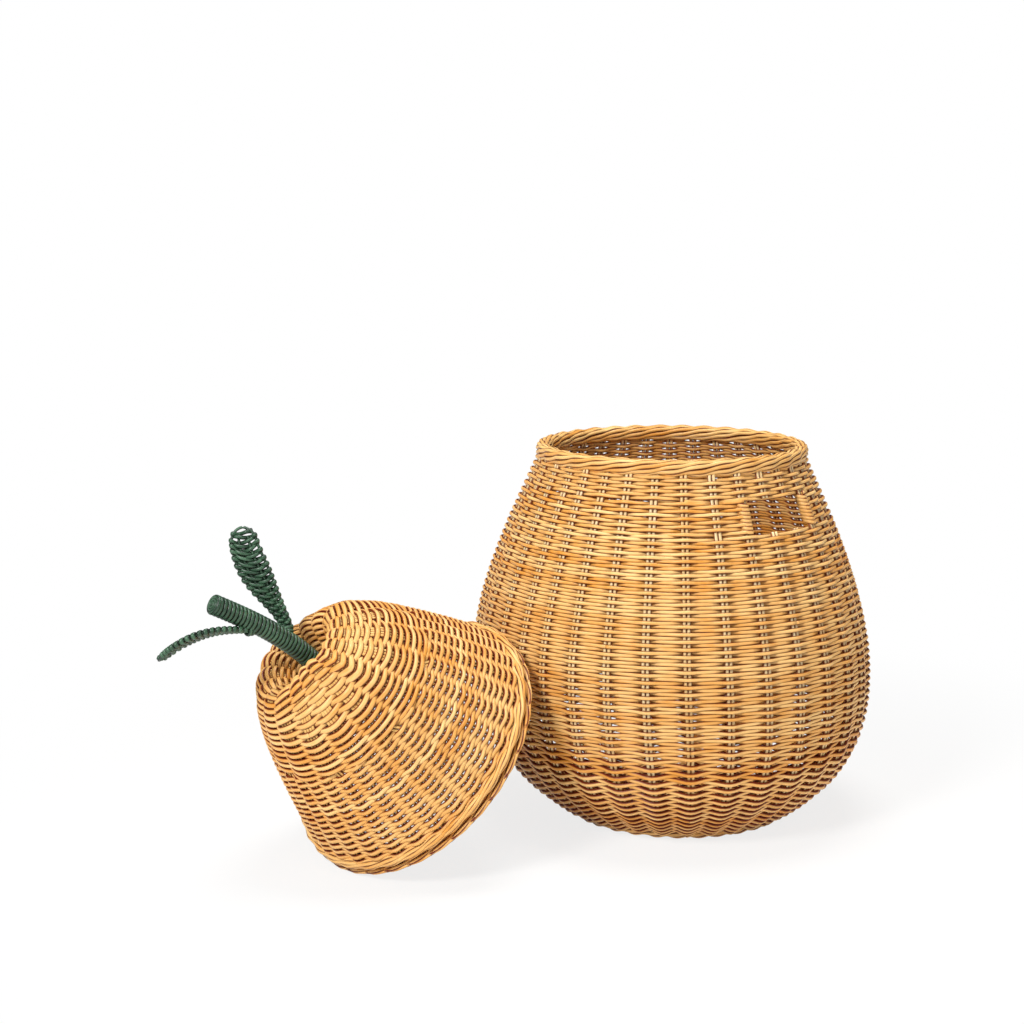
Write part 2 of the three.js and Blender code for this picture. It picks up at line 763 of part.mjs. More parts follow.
// Half width of a leaf: narrow at the stem, widest past the middle, round at the tip
function leafHalfWidth(leaf, share) {
  const open = THREE.MathUtils.clamp((share - leafStart) / (1 - leafStart), 0, 1);
  const swell = leafRoot + (leaf.halfWidth - leafRoot) * Math.sin(Math.PI * open ** leafFullness);
  const intoTip = Math.max(0, (open - 1 + leafTipRound) / leafTipRound);
  return swell * Math.sqrt(Math.max(leafTipLeast ** 2, 1 - intoTip ** 2));
}

function leafBar(from, to, steps, section, placeAt) {
  const places = [];
  for (let step = 0; step <= steps; step += 1) {
    places.push(placeAt(from + (to - from) * step / steps));
  }
  return toSolid(barGeometry(places, section));
}

function leafStalk(leaf, radius, depth) {
  const from = (stemCoreRadius - depth) / leaf.line.getLength();
  const section = ovalSection(2 * radius, 2 * radius, leafStalkSides);
  return leafBar(from, leafStart, leafStalkSteps, section, (share) => leafPlace(leaf, share));
}

function leafRib(leaf, spread, radius, end) {
  const section = ovalSection(2 * radius, 2 * radius, leafRibSides);
  return leafBar(leafRibStart, end, leafSteps, section, (share) => {
    const opened = THREE.MathUtils.smoothstep(share, leafRibStart, leafRibOpen);
    return leafPlace(leaf, share, spread * opened * Math.max(0, leafHalfWidth(leaf, share) - leafEdge));
  });
}

function leafRibs(leaf, radius, end) {
  return joinAll([-1, 0, 1].map((spread) => leafRib(leaf, spread, radius, end)));
}

function leafWeave(leaf) {
  const half = leafThickness / 2;
  const corner = leafShoulder;
  const section = [[1, 0], [corner, half], [-corner, half], [-1, 0], [-corner, -half], [corner, -half]];
  return leafBar(leafStart, 1, leafSteps, section, (share) => ({
    ...leafPlace(leaf, share),
    width: leafHalfWidth(leaf, share),
    height: Math.min(1, leafHalfWidth(leaf, share) / leafRoot),
  }));
}

// Stem core under the winding and the end disc, with a socket for each stalk
let core = stemBar(0, stemLength - endDiscThickness, stemSteps, stemCoreRadius, stemCoreSides);
leaves.map(leafShape).forEach((leaf) => {
  const frame = leafStalk(leaf, leafStalkRadius, socketDepth).add(leafRibs(leaf, leafRibRadius, leafRibEnd));
  const room = leafStalk(leaf, leafStalkRadius + slipFit, socketDepth + slipFit);
  const ribRoom = leafRibs(leaf, leafRibRadius + slipFit, leafRibEnd + slipFit / leaf.line.getLength());
  core = core.subtract(room);
  addPart(lid, `${leaf.name}_frame`, frame, greenCane);
  addPart(lid, `${leaf.name}_weave`, leafWeave(leaf).subtract(room.add(ribRoom)), greenCane);
});
addPart(lid, 'stem_core', core, greenCane);

// The lid leans: tilted, it stands on its border's edge and stops just clear of the wall
const tip = new THREE.Quaternion().setFromAxisAngle(new THREE.Vector3(0, 1, 0), lidTilt);
const turn = new THREE.Quaternion().setFromAxisAngle(new THREE.Vector3(0, 0, 1), lidTurn);
lid.quaternion.copy(turn).multiply(tip);

const shellOutline = lidStations.map((station) => offset(station, halfWeave));
const lidOutline = [...seatOutline, ...lidBorderOutline, ...shellOutline];
const lidSurface = [];
for (let flat = 0; flat < lidFlats; flat += 1) {
  const angle = fullTurn * (flat + 0.5) / lidFlats;
  lidOutline.forEach(([radius, height]) => {
    const point = outward(angle).multiplyScalar(radius / Math.cos(Math.PI / lidFlats)).setZ(height);
    lidSurface.push(point.applyQuaternion(lid.quaternion));
  });
}
const lidLift = floorClearance - Math.min(...lidSurface.map((point) => point.z));

function leanGap(distance) {
  const gaps = lidSurface.map((point) => {
    const x = point.x + distance * Math.cos(lidPlace);
    const y = point.y + distance * Math.sin(lidPlace);
    const height = THREE.MathUtils.clamp(point.z + lidLift, footHeight, mouthHeight);
    return Math.hypot(x, y) - wallRadiusAt(height, halfWeave) / Math.cos(stakeTurn / 2);
  });
  return Math.min(...gaps);
}

let tooNear = 0;
let clear = 2 * (bellyRadius + crestHeight);
while (clear - tooNear > leanPrecision) {
  const middle = (tooNear + clear) / 2;
  if (leanGap(middle) < leanClearance) tooNear = middle;
  else clear = middle;
}
lid.position.set(clear * Math.cos(lidPlace), clear * Math.sin(lidPlace), lidLift);
console.log(`lid stands ${clear.toFixed(1)} mm from the basket's axis, raised ${lidLift.toFixed(1)} mm`);

const pearBasket = new THREE.Group();
pearBasket.add(basket, lid);
export default pearBasket;
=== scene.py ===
# Pear-shaped rattan storage basket, with its lid lifted off and leaning against it
import bpy
import math
import numpy as np
from mathutils import Matrix, Vector


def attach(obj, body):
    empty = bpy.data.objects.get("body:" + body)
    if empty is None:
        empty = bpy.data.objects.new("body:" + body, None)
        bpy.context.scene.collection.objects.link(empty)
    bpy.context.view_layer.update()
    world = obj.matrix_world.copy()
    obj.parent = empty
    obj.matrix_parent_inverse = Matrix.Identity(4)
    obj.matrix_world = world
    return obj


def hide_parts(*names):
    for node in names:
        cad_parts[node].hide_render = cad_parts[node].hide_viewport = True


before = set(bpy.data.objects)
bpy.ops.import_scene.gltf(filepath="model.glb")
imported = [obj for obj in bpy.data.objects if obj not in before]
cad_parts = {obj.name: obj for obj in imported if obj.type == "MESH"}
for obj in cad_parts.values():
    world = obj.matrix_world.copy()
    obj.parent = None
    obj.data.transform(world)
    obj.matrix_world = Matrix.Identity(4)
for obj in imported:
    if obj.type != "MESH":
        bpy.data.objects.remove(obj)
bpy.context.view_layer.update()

mm = 0.001
fullTurn = 2 * math.pi
caneSides = 8


def hexColour(code):  # sRGB hex to the linear colour that a shader takes
    channels = [int(code[i:i + 2], 16) / 255 for i in (0, 2, 4)]
    return (*[c / 12.92 if c <= 0.04045 else ((c + 0.055) / 1.055) ** 2.4 for c in channels], 1)


def addNode(tree, kind, settings=None, links=None):
    node = tree.nodes.new(kind)
    for name, value in (settings or {}).items():
        if isinstance(name, str) and name[0].islower():
            setattr(node, name, value)
        else:
            node.inputs[name].default_value = value
    for name, socket in (links or {}).items():
        tree.links.new(socket, node.inputs[name])
    return node


def setRamp(node, stops):
    ramp = node.color_ramp
    while len(ramp.elements) < len(stops):
        ramp.elements.new(0.5)
    for element, (place, code) in zip(ramp.elements, stops):
        element.position = place
        element.color = hexColour(code)


def unit(vectors):
    return vectors / np.linalg.norm(vectors, axis=-1, keepdims=True)


def reachAlong(points):  # distance along a line from its first point to each one
    return np.append(0, np.cumsum(np.linalg.norm(np.diff(points, axis=0), axis=1)))


def smooth(low, high, value):  # 0 below low, 1 above high, with soft ends
    share = np.clip((value - low) / (high - low), 0, 1)
    return share * share * (3 - 2 * share)


def bezier(corners, steps):
    t = np.linspace(0, 1, steps + 1)[:, None]
    a, b, c, d = np.array(corners, float)
    return (1 - t) ** 3 * a + 3 * (1 - t) ** 2 * t * b + 3 * (1 - t) * t ** 2 * c + t ** 3 * d


def outward(angle):  # round the basket from the front, towards +X
    return np.stack([np.sin(angle), -np.cos(angle), np.zeros_like(angle)], -1)


def revolve(angle, flat):  # radius and height of each point, turned to its angle round the basket
    points = outward(angle) * flat[:, :1]
    points[:, 2] = flat[:, 1]
    return points


def upward(count):
    return np.tile([0.0, 0.0, 1.0], (count, 1))


def drawTone(tones, middle, spread):
    return float(np.clip(tones.normal(middle, spread), 0, 1))


def wander(seed, size, length, distance):  # a slow, soft drift of about the given size along a cane
    waves = np.random.default_rng(seed)
    total = np.zeros_like(distance)
    for _ in range(3):
        stretched = length * waves.uniform(0.6, 1.6)
        total += np.sin(distance * fullTurn / stretched + waves.uniform(0, fullTurn))
    return total * size / 2


# A line up the wall or over the dome, by the distance along it: radius, height and the two directions
def makeLine(*curves):
    points = np.concatenate([curve[(0 if index == 0 else 1):] for index, curve in enumerate(curves)])
    return {"points": points, "along": unit(np.gradient(points, axis=0)), "reach": reachAlong(points)}


def linePlace(line, distance):
    def follow(values):
        return np.stack([np.interp(distance, line["reach"], values[:, axis]) for axis in (0, 1)], -1)

    beyond = distance - np.clip(distance, 0, line["reach"][-1])
    along = unit(follow(line["along"]))
    point = follow(line["points"]) + along * beyond[..., None]
    return point, along, np.stack([along[..., 1], -along[..., 0]], -1)


def distanceAt(line, height):
    return float(np.interp(height, line["points"][:, 1], line["reach"]))


# Canes: each has points and outward directions in mm, a width and thickness, and a tone from 0 to 1
def layCanes(name, canes, material, body, nodes, sides=caneSides):
    corners, faces, uvs, tones, first = [], [], [], [], 0
    turn = np.arange(sides) * fullTurn / sides
    ring = np.arange(sides)
    after = (ring + 1) % sides
    for cane in canes:
        points = np.asarray(cane["points"], float)
        along = unit(np.gradient(points, axis=0))
        side = unit(np.cross(along, cane["out"]))
        out = np.cross(side, along)
        halfWide = np.broadcast_to(np.asarray(cane["width"], float) / 2, len(points))[:, None, None]
        halfThick = np.broadcast_to(np.asarray(cane["thickness"], float) / 2, len(points))[:, None, None]
        shape = halfWide * np.cos(turn)[None, :, None] * side[:, None, :]
        shape = shape + halfThick * np.sin(turn)[None, :, None] * out[:, None, :]
        corners.append((points[:, None, :] + shape).reshape(-1, 3))
        rings = len(points)
        base = first + np.arange(rings - 1)[:, None] * sides
        quads = np.stack([base + ring, base + sides + ring, base + sides + after, base + after], -1)
        faces += quads.reshape(-1, 4).tolist()
        faces.append((first + ring).tolist())
        faces.append((first + (rings - 1) * sides + ring[::-1]).tolist())
        length = reachAlong(points) * mm
        startLength = np.broadcast_to(length[:-1, None], (rings - 1, sides))
        endLength = np.broadcast_to(length[1:, None], (rings - 1, sides))
        low = np.broadcast_to(ring / sides, (rings - 1, sides))
        high = low + 1 / sides
        quadUvs = np.stack([startLength, low, endLength, low, endLength, high, startLength, high], -1)
        uvs.append(quadUvs.reshape(-1, 2))
        uvs.append(np.stack([np.full(sides, length[0]), ring / sides], -1))
        uvs.append(np.stack([np.full(sides, length[-1]), ring[::-1] / sides], -1))
        tones.append(np.full(rings * sides, cane["tone"]))
        first += rings * sides
    mesh = bpy.data.meshes.new(name)
    mesh.from_pydata((np.concatenate(corners) * mm).tolist(), [], faces)
    mesh.uv_layers.new(name="UVMap").data.foreach_set("uv", np.concatenate(uvs).ravel())
    mesh.attributes.new("tone", "FLOAT", "POINT").data.foreach_set("value", np.concatenate(tones))
    mesh.polygons.foreach_set("use_smooth", [True] * len(faces))
    mesh.materials.append(material)
    piece = bpy.data.objects.new(name, mesh)
    bpy.context.collection.objects.link(piece)
    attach(piece, body)
    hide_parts(*nodes)
    print(name, "triangles", sum(len(face) - 2 for face in faces))


# Weave: one cane spirals in front of and behind the stakes, one row to a turn, in lengths joined inside
def spiralWeave(line, weave, start, end, tones):
    columns, segments = weave["columns"], weave["segments"]
    samples = np.linspace(start, end, 400)
    turnsTo = np.append(0, np.cumsum(np.diff(samples) / weave["pitch"]((samples[1:] + samples[:-1]) / 2)))
    rows = max(1, round(turnsTo[-1]))
    turnsTo *= rows / turnsTo[-1]
    crossings = rows * columns
    cut = 0
    canes = []
    while cut < crossings:
        longest = tones.uniform(*weave["caneTurns"]) * columns
        until = min(crossings, cut + int(longest)) if crossings - cut > 2 * columns else crossings
        crossing = np.linspace(cut, until, (until - cut) * segments + 1)
        turns = crossing / columns
        canes.append(weaverCane(line, weave, crossing, np.interp(turns, turnsTo, samples), tones))
        cut = until
    return canes


# No two canes are alike: shares by which depth and girth change, and the mm of cane over which they do
uneven = {
    "driftLength": 90, "press": 0.95, "depth": 0.03, "depthLength": 120, "girth": 0.035, "girthLength": 200,
}


def weaverCane(line, weave, crossing, distance, tones, flip=1):
    angle = weave["angle"](crossing)
    wave = np.cos(math.pi * crossing) * flip
    width, thickness, bow, hug = [np.asarray(weave[key](distance), float) * np.ones_like(distance)
                                  for key in ("width", "thickness", "bow", "hug")]
    swing = np.sign(wave) * np.abs(wave) ** hug
    lengthAlong = crossing * weave["spacing"]
    seed = int(tones.integers(1, 1 << 30))
    drift = wander(seed, weave["drift"], uneven["driftLength"], lengthAlong)
    pressed = uneven["press"] + wander(seed + 1, uneven["depth"], uneven["depthLength"], lengthAlong)
    depth = (thickness + weave["stakeThickness"]) / 2 * pressed
    place, _, out = linePlace(line, distance - bow * wave + drift)
    place = place + out * (depth * swing)[:, None]
    girth = 1 + wander(seed + 2, uneven["girth"], uneven["girthLength"], lengthAlong)
    thin = girth * (1 - weave["squeeze"] * (1 - np.abs(wave)))
    return {"points": revolve(angle, place), "out": revolve(angle, out), "width": width * thin,
            "thickness": thickness * thin, "tone": drawTone(tones, 0.5, 0.2)}


# Stakes: pairs of canes side by side, standing in the wall
def stakeCanes(line, angle, start, end, cane, tones, spread=None, step=6):
    distance = np.linspace(start, end, max(4, int((end - start) / step)))
    place, _, out = linePlace(line, distance)
    canes = []
    angles = np.broadcast_to(angle, distance.shape) if np.isscalar(angle) else angle(distance)
    for aside in cane["asides"]:
        offset = aside * (np.ones_like(distance) if spread is None else spread(distance))
        turned = angles + offset / np.maximum(place[:, 0], 1)
        canes.append({"points": revolve(turned, place), "out": revolve(turned, out),
                      "width": cane["diameter"], "thickness": cane["diameter"],
                      "tone": drawTone(tones, 0.72, 0.12)})
    return canes


# A rolled border: from each stake a long cane, or two side by side, rises over the ring's outside, crosses
# its top and goes down inside. It dips under its neighbours once in each unit, and its start is tucked in
rolling = {
    "apart": 0.52, "pinchPhase": 2.2, "divePhase": 1.4, "entryDepth": 1.5, "entryEnd": 0.3, "flatness": 0.94,
}


def rolledBorder(border, tones):
    samples = np.linspace(0, fullTurn, 361)
    power = 2 / border["squareness"]
    wave = np.stack([np.cos(samples), np.sin(samples)], -1)
    section = np.sign(wave) * np.abs(wave) ** power * np.array(border["half"])
    reach = reachAlong(section)
    perimeter = reach[-1]

    def sectionPlace(distance):
        return np.stack([np.interp(distance, reach, section[:, axis]) for axis in (0, 1)], -1)

    turnRate = perimeter / border["span"]
    travel = np.linspace(-border["tuck"], border["laps"] * border["span"] + border["tuck"], border["steps"])
    ripple = border["ripple"] * np.sin(fullTurn * travel) / fullTurn
    pinch = 1 - border["pinch"] * (0.5 + 0.5 * np.cos(fullTurn * travel + rolling["pinchPhase"]))
    entry = rolling["entryDepth"] * (1 - smooth(-border["tuck"], rolling["entryEnd"], travel))
    canes = []
    for unitIndex in range(border["units"]):
        for aside in border["asides"]:
            around = border["startShare"] * perimeter + turnRate * (travel + ripple)
            around = around + aside * 2 * border["cane"] * rolling["apart"] * pinch
            turn = around % perimeter
            tangent = unit(sectionPlace((turn + 0.5) % perimeter) - sectionPlace((turn - 0.5) % perimeter))
            sectionOut = np.stack([tangent[:, 1], -tangent[:, 0]], -1)
            phase = rolling["divePhase"] if aside > 0 else 0.0
            dive = border["dive"] * (1 + np.cos(fullTurn * travel + phase)) / 2
            inset = border["cane"] / 2 + dive + entry
            flat = sectionPlace(turn) - sectionOut * inset[:, None]
            angle = border["firstAngle"] + (unitIndex + travel) * fullTurn / border["units"]
            angle = angle + tones.normal(0, border["jitter"]) * fullTurn / border["units"]
            canes.append({"points": revolve(angle, np.array(border["centre"]) + flat),
                          "out": revolve(angle, sectionOut), "width": border["cane"],
                          "thickness": border["cane"] * rolling["flatness"],
                          "tone": drawTone(tones, 0.55, 0.18)})
    angle = np.linspace(0, fullTurn, 133)
    for radius, height in border["core"]:
        points = outward(angle) * (border["centre"][0] + radius)
        points[:, 2] = border["centre"][1] + height
        canes.append({"points": points, "out": upward(len(angle)), "width": border["coreWidth"],
                      "thickness": border["coreWidth"], "tone": 0.2})
    return canes


# What both kinds of cane share: streaks along it, patches, and the share of its sides, which face the
# grooves, a quarter turn from its crest, where v is 0, 0.5 and 1; those sides are darkened with painted
# shade, and partly with stain pooled there
def canePatterns(name, look):
    material = bpy.data.materials.new(name)
    material.use_nodes = True
    tree = material.node_tree
    coordinates = addNode(tree, "ShaderNodeTexCoord")
    streakPlace = addNode(tree, "ShaderNodeMapping", {"Scale": look["streakScale"]},
                          {0: coordinates.outputs["UV"]})
    streaks = addNode(tree, "ShaderNodeTexNoise", {"Scale": 1.0, "Detail": 3.0, "Roughness": 0.6},
                      {0: streakPlace.outputs[0]})
    patches = addNode(tree, "ShaderNodeTexNoise", {"Scale": look["patchScale"], "Detail": 2.0},
                      {0: coordinates.outputs["Object"]})
    uv = addNode(tree, "ShaderNodeSeparateXYZ", links={0: coordinates.outputs["UV"]})
    turned = addNode(tree, "ShaderNodeMath", {"operation": "MULTIPLY", 1: fullTurn}, {0: uv.outputs["Y"]})
    across = addNode(tree, "ShaderNodeMath", {"operation": "COSINE"}, {0: turned.outputs[0]})
    sideways = addNode(tree, "ShaderNodeMath", {"operation": "ABSOLUTE"}, {0: across.outputs[0]})
    low, high = look["sides"]
    # the sides of each cane are darkened here: painted shade where the canes meet, and partly stain pooled
    # there
    sideStainAndShade = addNode(tree, "ShaderNodeMapRange", {
        "interpolation_type": "SMOOTHSTEP", "From Min": low, "From Max": high, "To Max": look["stainAndShade"]},
        {0: sideways.outputs[0]})
    return material, streaks, patches, sideStainAndShade


def finishCane(material, look, value, streaks, sideStainAndShade):  # value is the socket that the colour ramp reads
    tree = material.node_tree
    shader = tree.nodes["Principled BSDF"]
    ramp = addNode(tree, "ShaderNodeValToRGB", links={0: value})
    setRamp(ramp, look["ramp"])
    # multiplies the dark side colour into the cane's colour: painted shade, with some pooled stain
    stainShadeMix = addNode(tree, "ShaderNodeMix", {"data_type": "RGBA", "blend_type": "MULTIPLY",
                                              7: hexColour(look["stainAndShadeColour"])},
                      {0: sideStainAndShade.outputs[0], 6: ramp.outputs[0]})
    tree.links.new(stainShadeMix.outputs[2], shader.inputs["Base Color"])
    smoothest, roughest = look["gloss"]
    gloss = addNode(tree, "ShaderNodeMapRange", {"To Min": smoothest, "To Max": roughest},
                    {0: streaks.outputs[0]})
    tree.links.new(gloss.outputs[0], shader.inputs["Roughness"])
    bump = addNode(tree, "ShaderNodeBump", {"Strength": 0.35, "Distance": 0.0003},
                   {"Height": streaks.outputs[0]})
    tree.links.new(bump.outputs[0], shader.inputs["Normal"])
    shader.inputs["IOR"].default_value = 1.5
    return shader


# Peeled rattan core, stained honey and lacquered: round canes whose tone changes from one to the next, with
# fine pores along them, and sides darkened towards the grooves between them, partly by pooled stain and
# partly as painted shade
def honeyRattan(name, tones):
    # pores 14 mm long and about 0.5 mm wide, a little coarser than real ones so that they show, and
    # patches of deeper and paler stain, 30 mm across
    look = {**tones, "streakScale": (70, 22, 1), "patchScale": 33.0, "sides": (0.45, 1.0),
            "gloss": (tones["roughness"] - 0.07, tones["roughness"] + 0.12)}
    material, streaks, patches, sideStainAndShade = canePatterns(name, look)
    tree = material.node_tree
    tone = addNode(tree, "ShaderNodeAttribute", {"attribute_name": "tone"})
    spread = addNode(tree, "ShaderNodeMath", {"operation": "MULTIPLY_ADD", 1: 0.55, 2: -0.03},
                     {0: streaks.outputs[0]})
    patched = addNode(tree, "ShaderNodeMath", {"operation": "MULTIPLY_ADD", 1: 0.4}, {
        0: patches.outputs[0], 2: spread.outputs[0]})
    mixed = addNode(tree, "ShaderNodeMath", {"operation": "MULTIPLY_ADD", 1: 0.42}, {
        0: tone.outputs["Fac"], 2: patched.outputs[0]})
    shader = finishCane(material, look, mixed.outputs[0], streaks, sideStainAndShade)
    shader.inputs["Specular IOR Level"].default_value = 0.3
    shader.inputs["Coat Weight"].default_value = tones["lacquer"]
    shader.inputs["Coat Roughness"].default_value = 0.22
    return material


# the darker colour and amount for the canes' sides in each of these are painted shade, and partly stain
# pooled there
weaveTones = {
    "ramp": [(0.1, "B66016"), (0.45, "E29736"), (0.85, "FACE86")], "stainAndShadeColour": "7A2A00", "stainAndShade": 1.0,
    "lacquer": 0.12, "roughness": 0.45,
}
stakeTones = {
    "ramp": [(0.1, "D08A34"), (0.45, "F4BE64"), (0.85, "FFE8B4")], "stainAndShadeColour": "8E3E06", "stainAndShade": 0.9,
    "lacquer": 0.2, "roughness": 0.4,
}
lidStakeTones = {
    "ramp": [(0.1, "B4661C"), (0.45, "DE983E"), (0.85, "F4C87A")], "stainAndShadeColour": "6E2604", "stainAndShade": 0.95,
    "lacquer": 0.1, "roughness": 0.5,
}
borderTones = {
    "ramp": [(0.1, "B26016"), (0.45, "E09636"), (0.85, "FACE86")], "stainAndShadeColour": "6E2400", "stainAndShade": 1.0,
    "lacquer": 0.12, "roughness": 0.45,
}
weaverRattan = honeyRattan("weaverRattan", weaveTones)
stakeRattan = honeyRattan("stakeRattan", stakeTones)
lidStakeRattan = honeyRattan("lidStakeRattan", lidStakeTones)
borderRattan = honeyRattan("borderRattan", borderTones)


# The basket's wall, from the foot up over the belly to the mouth; the feet of its stakes have settled
# a little to one side
wall = {
    "footRadius": 122, "footHeight": 8.7, "footSlope": math.radians(32), "footReach": 91,
    "bellyRadius": 211.5, "bellyHeight": 173.5, "reachBelow": 59, "reachAbove": 83,
    "mouthRadius": 142, "mouthHeight": 390, "mouthLean": math.radians(10), "mouthReach": 12,
    "stakePairs": 33, "firstStake": math.radians(1.7), "cane": 4.1, "apart": 4.3,
    "lowerTop": 122, "sill": 333, "lintel": 366, "holes": [(2, 5), (18, 21)],
    "settle": 10, "settleTop": 240, "tuck": 5,
}
foot = (wall["footRadius"], wall["footHeight"])
belly = (wall["bellyRadius"], wall["bellyHeight"])
mouth = (wall["mouthRadius"], wall["mouthHeight"])
wallLine = makeLine(
    bezier([foot,
            (foot[0] + wall["footReach"] * math.cos(wall["footSlope"]),
             foot[1] + wall["footReach"] * math.sin(wall["footSlope"])),
            (belly[0], belly[1] - wall["reachBelow"]), belly], 60),
    bezier([belly, (belly[0], belly[1] + wall["reachAbove"]),
            (mouth[0] + wall["mouthReach"] * math.sin(wall["mouthLean"]),
             mouth[1] - wall["mouthReach"] * math.cos(wall["mouthLean"])), mouth], 60))


def settleBasket(points):
    moved = np.array(points, float)
    moved[:, 0] += wall["settle"] * (1 - smooth(0, wall["settleTop"], moved[:, 2]))
    return moved


def layBasketCanes(name, canes, material, nodes):
    placed = [{**cane, "points": settleBasket(cane["points"])} for cane in canes]
    layCanes(name, placed, material, "basket", nodes)


# Wider, flatter canes and a deeper scallop in the lower rows
lowerEnd = distanceAt(wallLine, 105)


def lowerShare(distance):
    return 1 - smooth(lowerEnd - 25, lowerEnd + 25, distance)


# The stakes aren't spaced quite evenly: degrees that each one has moved, none beside the hand holes
stakeDrift = np.array([
    (-12, 0), (-9, 1), (-6, 2.2), (-5, 1.7), (-4, -0.6), (-3, -1.5), (-2, -1.9), (-1, -1.8),
    (0, -1.2), (1, -0.5), (2, 0), (5, 0), (12, 0.6), (18, 0)])


def stakeAngle(index):
    moved = np.radians(np.interp(index, stakeDrift[:, 0], stakeDrift[:, 1], period=wall["stakePairs"]))
    return wall["firstStake"] + index * fullTurn / wall["stakePairs"] + moved


wallWeave = {
    "columns": wall["stakePairs"], "segments": 8, "angle": stakeAngle, "spacing": 37,
    "stakeThickness": wall["cane"], "squeeze": 0.05, "drift": 0.22, "caneTurns": (1.6, 3.4),
    "hug": lambda distance: 2.2 + 1.4 * smooth(380, 300, distance) - 1.8 * lowerShare(distance),
    "pitch": lambda distance: 3.62 + 0.1 * smooth(330, 250, distance) + 0.95 * lowerShare(distance)
    + 0.5 * np.exp(-((distance - lowerEnd - 5) / 7) ** 2),
    "width": lambda distance: 4.5 + 0.8 * lowerShare(distance),
    "thickness": lambda distance: 3.7 + 0.5 * lowerShare(distance),
    "bow": lambda distance: 0.25 + 1.15 * lowerShare(distance),
}
tones = np.random.default_rng(11)
zones = [(("wallWeaveLower",), 0, wall["lowerTop"], "wall_weave_lower"),
         (("wallWeaveBelly", "wallWeaveBellyHigh"), wall["lowerTop"], wall["sill"], "wall_weave_belly")]
for names, low, high, node in zones:
    canes = spiralWeave(wallLine, wallWeave, distanceAt(wallLine, low), distanceAt(wallLine, high), tones)
    for part, name in enumerate(names):
        laid = canes[part * len(canes) // len(names):(part + 1) * len(canes) // len(names)]
        layBasketCanes(name, laid, weaverRattan, [node])

# Above the sill the rows run in two panels between the posts of the hand holes, then right round again
topCanes = []
holeLow = distanceAt(wallLine, wall["sill"])
holeHigh = distanceAt(wallLine, wall["lintel"])
panelRows = 9
rightHole, leftHole = wall["holes"]
panels = [(rightHole[1], leftHole[0]), (leftHole[1], rightHole[0] + wall["stakePairs"])]
for row in range(panelRows):
    for first, last in panels:
        crossing = np.linspace(first, last, (last - first) * wallWeave["segments"] + 1)
        distance = np.full_like(crossing, holeLow + (row + 0.5) * (holeHigh - holeLow) / panelRows)
        topCanes.append(weaverCane(wallLine, wallWeave, crossing, distance, tones, 1 if row % 2 else -1))
topCanes += spiralWeave(wallLine, wallWeave, holeHigh, wallLine["reach"][-1], tones)
layBasketCanes("wallWeaveTop", topCanes, weaverRattan, ["wall_weave_top"])
print("wall woven")

# Stakes: 33 pairs, those in a hand hole cut at its sill and begun again above its lintel
pair = {"asides": (-wall["apart"] / 2, wall["apart"] / 2), "diameter": wall["cane"]}
stakeStart = -wall["tuck"]
stakeEnd = wallLine["reach"][-1] + wall["tuck"]
for stake in range(wall["stakePairs"]):
    angle = float(stakeAngle(stake))
    parted = any(first < stake < last for first, last in wall["holes"])
    spans = [("", stakeStart, stakeEnd)]
    if parted:
        spans = [("", stakeStart, holeLow), ("_upper", holeHigh, stakeEnd)]
    for suffix, start, end in spans:
        canes = stakeCanes(wallLine, angle, start, end, pair, tones)
        layBasketCanes(f"stakeCanes{stake + 1:02d}{suffix}", canes, stakeRattan,
                       [f"stake_pair_{stake + 1:02d}{suffix}"])

rimBorder = {
    "units": wall["stakePairs"], "firstAngle": wall["firstStake"], "centre": (139, 399),
    "half": (8.0, 9.4), "squareness": 2.6,
    "asides": (0,), "cane": 4.9, "span": 10.5, "laps": 0.9, "startShare": -0.2, "tuck": 0.8, "steps": 90,
    "ripple": 0.5, "pinch": 0, "dive": 1.6, "jitter": 0.05,
    "core": [(-2, -3), (2, -3), (-2, 2), (2, 2)], "coreWidth": 5,
}
layBasketCanes("rimBorder", rolledBorder(rimBorder, tones), borderRattan, ["rim_border"])
footBorder = {
    "units": wall["stakePairs"], "firstAngle": wall["firstStake"], "centre": (115, 6.3),
    "half": (9.6, 6.3), "squareness": 2.4,
    "asides": (0,), "cane": 4.7, "span": 8, "laps": 0.9, "startShare": -0.2, "tuck": 0.8, "steps": 70,
    "ripple": 0.5, "pinch": 0, "dive": 1.5, "jitter": 0.05,
    "core": [(-4, 0), (0, 0), (4, 0)], "coreWidth": 4.5,
}
layBasketCanes("footBorder", rolledBorder(footBorder, tones), borderRattan, ["foot_border"])
print("borders rolled")


# The lid, made in its own frame with +Z along its axis, then tilted and leant where its frame is
lid = {
    "tilt": math.radians(49.3), "turn": math.radians(220.3),
    "footRadius": 136.5, "footHeight": 30, "lean": math.radians(18.8), "reach": 85,
    "crestRadius": 51, "crestHeight": 196, "crestReach": 23,
    "dimpleRadius": 13, "dimpleDepth": 28.4, "dimpleReachOut": 20, "dimpleReachIn": 16,
    "foldAngle": math.radians(4), "foldStart": 165, "foldShares": np.array([0.8, 0.65, 0.5, 0.0]),
    "lip": 0.2, "lipAngle": math.radians(80), "lipSpread": math.radians(65), "lipReach": 42, "lipRise": 12,
    "stakePairs": 33, "firstStake": math.radians(-5.2), "stakeGroups": 17, "firstGroup": math.radians(15.7),
    "gatherAt": 108, "gatherFrom": 8, "gatherTo": 7, "groupHalf": 3.9, "outerStop": 42,
    "drawn": 0.3, "drawnFrom": 120, "drawnTo": 200,
}
lidTurned = Matrix.Rotation(lid["turn"], 3, "Z") @ Matrix.Rotation(lid["tilt"], 3, "Y")
lidAxes = np.array(lidTurned)
seatPoints = np.array([v.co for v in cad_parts["lid_seat_ring"].data.vertices]) @ lidAxes / mm
lidPlace = (seatPoints.max(0) + seatPoints.min(0)) / 2
lidPlace[2] = seatPoints[:, 2].min()


def leanLid(points):
    return (np.asarray(points, float) + lidPlace) @ lidAxes.T


